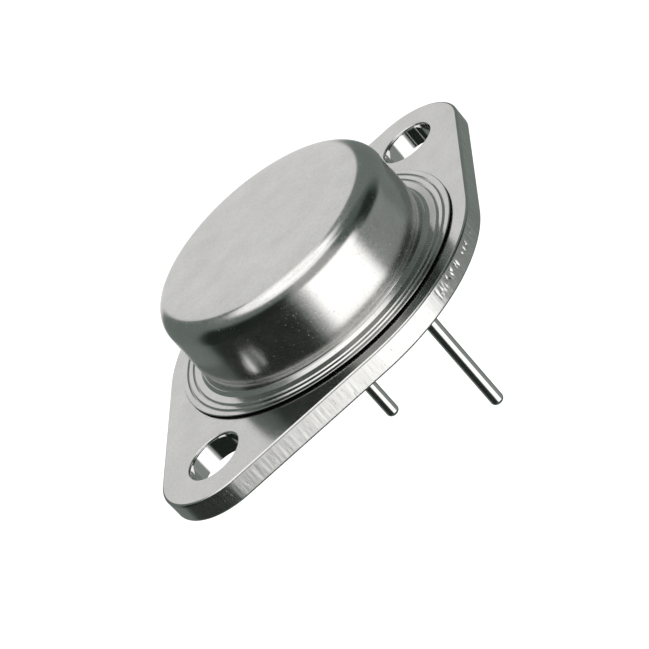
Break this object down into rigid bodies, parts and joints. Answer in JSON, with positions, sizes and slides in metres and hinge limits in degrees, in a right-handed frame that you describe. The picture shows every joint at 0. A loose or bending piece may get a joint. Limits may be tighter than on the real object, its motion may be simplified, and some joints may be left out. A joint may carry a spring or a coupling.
{
  "type": "power transistor",
  "caption": "Metal-can power transistor: diamond mounting flange with screw holes, welded round can, glass-sealed leads out of the underside.",
  "frame": {"origin": "midpoint between the two screw holes, on the underside of the flange that lies on the heatsink", "axes": "+Z out of the flange through the middle of the can, so the leads point along -Z; +X along the flange's long axis towards the screw hole the leads stand nearer to"},
  "size_m": [0.0388, 0.0262, 0.0211],
  "materials": {
    "header_plating": "satin nickel plate on steel, tumbled",
    "cap_plating": "satin nickel plate on drawn steel, faint mottling",
    "lead_plating": "bright nickel plate on nickel-iron wire",
    "seal_glass": "dark fused sealing glass, glossy",
    "copper": "bare copper, rolled",
    "braze_alloy": "copper-silver braze, flowed",
    "soft_solder": "lead-tin solder, dull",
    "silicon": "polished silicon",
    "bond_aluminium": "drawn wire"
  },
  "bodies": {
    "root": {"header_base": "header_plating", "cap": "cap_plating", "base_lead": "lead_plating", "emitter_lead": "lead_plating", "base_lead_glass_seal": "seal_glass", "emitter_lead_glass_seal": "seal_glass", "heat_spreader": "copper", "heat_spreader_braze": "braze_alloy", "die_attach_solder": "soft_solder", "silicon_die": "silicon", "emitter_bond_wire_left": "bond_aluminium", "emitter_bond_wire_right": "bond_aluminium", "base_bond_wire": "bond_aluminium"}
  },
  "joints": []
}
